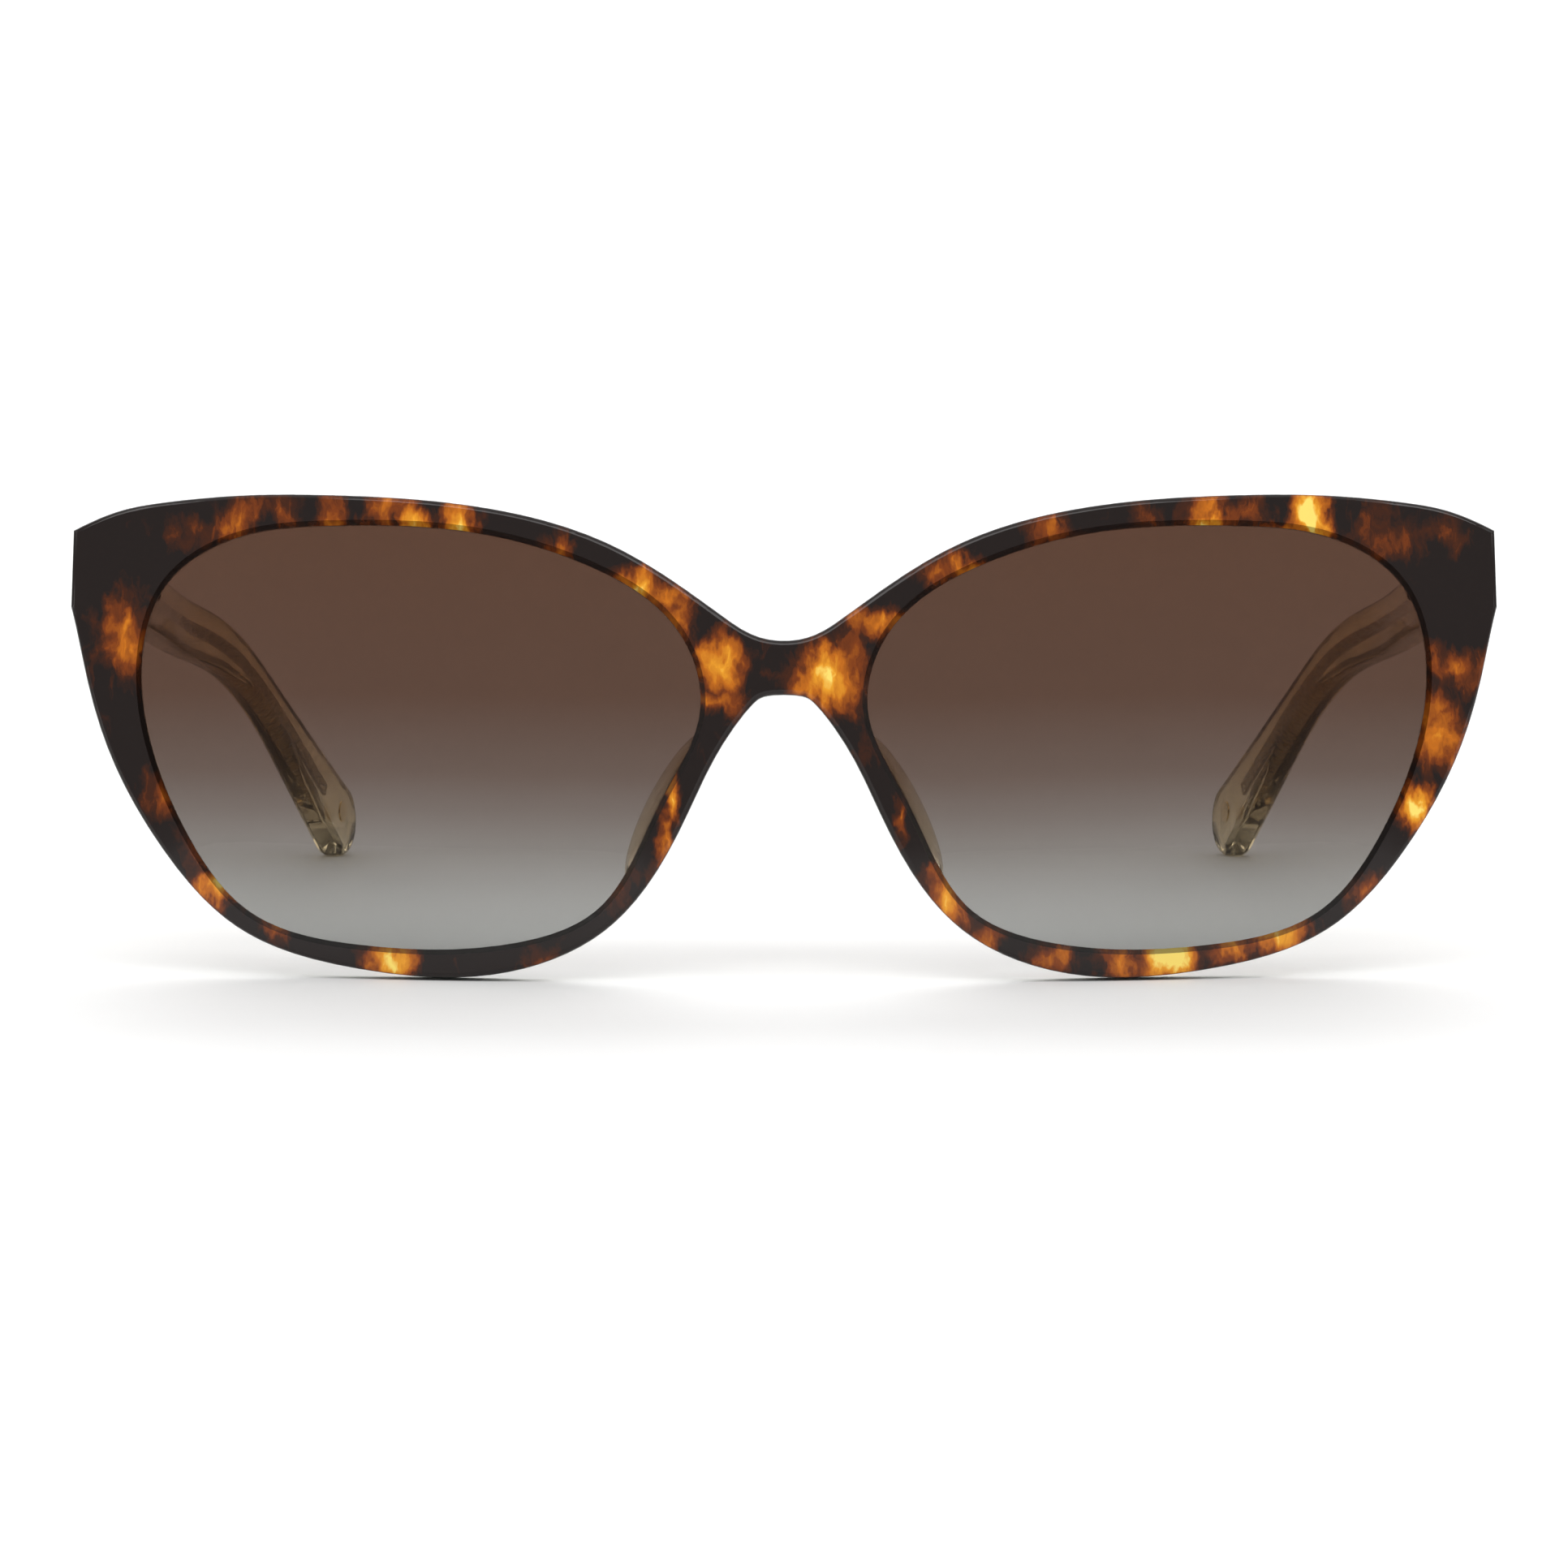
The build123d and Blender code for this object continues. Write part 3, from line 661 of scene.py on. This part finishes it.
class SUNGLASSES_OT_studio(bpy.types.Operator):
    """Sets up the white floor, the soft lights and the camera"""

    bl_idname = "sunglasses.studio"
    bl_label = "Studio"

    def execute(self, context):
        scene = context.scene
        studio = scene.sunglasses_studio
        self.paper(studio)
        world = bpy.data.worlds.new("White room")
        world.use_nodes = True
        background = world.node_tree.nodes["Background"]
        background.inputs["Color"].default_value = (1.0, 1.0, 1.0, 1.0)
        background.inputs["Strength"].default_value = studio.sky
        scene.world = world
        middle = (0.0, 0.0, 0.02)
        area_light("Overhead softbox", (0.0, 0.35, 1.2), (0.0, 0.35, 0.0), (2.4, 2.0), studio.key_power)
        area_light("Back softbox", (0.0, 1.1, 0.75), middle, (1.8, 0.5), studio.back_power)
        area_light("Front softbox", (0.0, -1.0, 1.0), middle, (1.2, 0.5), studio.front_power)
        for sign, name in ((-1, "Right strip"), (1, "Left strip")):
            area_light(name, (sign * 0.75, -0.5, 0.4), middle, (0.15, 0.9), studio.side_power)
        data = bpy.data.cameras.new("Camera")
        data.lens = studio.focal_length
        data.sensor_width = 36.0
        data.clip_start, data.clip_end = 0.01, 20.0
        camera = bpy.data.objects.new("Camera", data)
        bridge_y = cad_low.y
        camera.location = (0.0, bridge_y - studio.camera_distance, studio.camera_height)
        aim = Vector((0.0, bridge_y, studio.aim_height)) - camera.location
        camera.rotation_euler = aim.to_track_quat("-Z", "Y").to_euler()
        scene.collection.objects.link(camera)
        scene.camera = camera
        scene.view_settings.view_transform = "Standard"
        return {"FINISHED"}

    def paper(self, studio):
        """A seamless sheet: flat floor, then a wide curve up to the back."""
        front_edge, reach, radius, rise, half_width, steps = -2.5, 0.9, 0.4, 1.4, 2.5, 24
        profile = [(front_edge, 0.0), (reach, 0.0)]
        for step in range(1, steps + 1):
            angle = math.pi / 2 * step / steps
            profile.append((reach + radius * math.sin(angle), radius * (1 - math.cos(angle))))
        profile.append((reach + radius, radius + rise))
        mesh = bpy.data.meshes.new("Seamless paper")
        verts = [(x, y, z) for y, z in profile for x in (-half_width, half_width)]
        faces = [(2 * i, 2 * i + 1, 2 * i + 3, 2 * i + 2) for i in range(len(profile) - 1)]
        mesh.from_pydata(verts, [], faces)
        mesh.shade_smooth()
        paper = bpy.data.objects.new("Seamless paper", mesh)
        bpy.context.scene.collection.objects.link(paper)
        material, tree, principled = shader("Matt white paper", Roughness=0.6, Specular_IOR_Level=0.25)
        fibre = put(tree, "ShaderNodeTexNoise", "paper fibre", {
            "Vector": object_position(tree), "Scale": 30.0, "Detail": 4.0,
        }).outputs["Fac"]
        shade = [channel * 0.985 for channel in studio.floor]
        tone = ramp(tree, fibre, [(0.3, shade), (0.7, studio.floor)], "paper tone")
        tree.links.new(tone, principled.inputs["Base Color"])
        mesh.materials.append(material)


class SUNGLASSES_PT_panel(bpy.types.Panel):
    """Lists the pieces and their settings"""

    bl_label = "Cat eye sunglasses"
    bl_idname = "SUNGLASSES_PT_panel"
    bl_space_type = "VIEW_3D"
    bl_region_type = "UI"
    bl_category = "Sunglasses"

    def draw(self, context):
        column = self.layout.column()
        for operator in PIECES:
            column.operator(operator.bl_idname)
        for settings in (context.scene.sunglasses_finish, context.scene.sunglasses_studio):
            column.separator()
            for name in settings.__annotations__:
                column.prop(settings, name)


PIECES = (
    SUNGLASSES_OT_shared_effects, SUNGLASSES_OT_front, SUNGLASSES_OT_lenses,
    SUNGLASSES_OT_nose_pads, SUNGLASSES_OT_temples, SUNGLASSES_OT_core_wires,
    SUNGLASSES_OT_hinges, SUNGLASSES_OT_tip_discs, SUNGLASSES_OT_studio,
)
CLASSES = (SunglassesFinish, SunglassesStudio, *PIECES, SUNGLASSES_PT_panel)


def register():
    for item in CLASSES:
        bpy.utils.register_class(item)
    bpy.types.Scene.sunglasses_finish = bpy.props.PointerProperty(type=SunglassesFinish)
    bpy.types.Scene.sunglasses_studio = bpy.props.PointerProperty(type=SunglassesStudio)


def unregister():
    del bpy.types.Scene.sunglasses_studio
    del bpy.types.Scene.sunglasses_finish
    for item in reversed(CLASSES):
        bpy.utils.unregister_class(item)


def main():
    register()
    bpy.ops.sunglasses.shared_effects()
    bpy.ops.sunglasses.front()
    bpy.ops.sunglasses.lenses()
    bpy.ops.sunglasses.nose_pads()
    bpy.ops.sunglasses.temples()
    bpy.ops.sunglasses.core_wires()
    bpy.ops.sunglasses.hinges()
    bpy.ops.sunglasses.tip_discs()
    bpy.ops.sunglasses.studio()


if __name__ == "__main__":
    main()
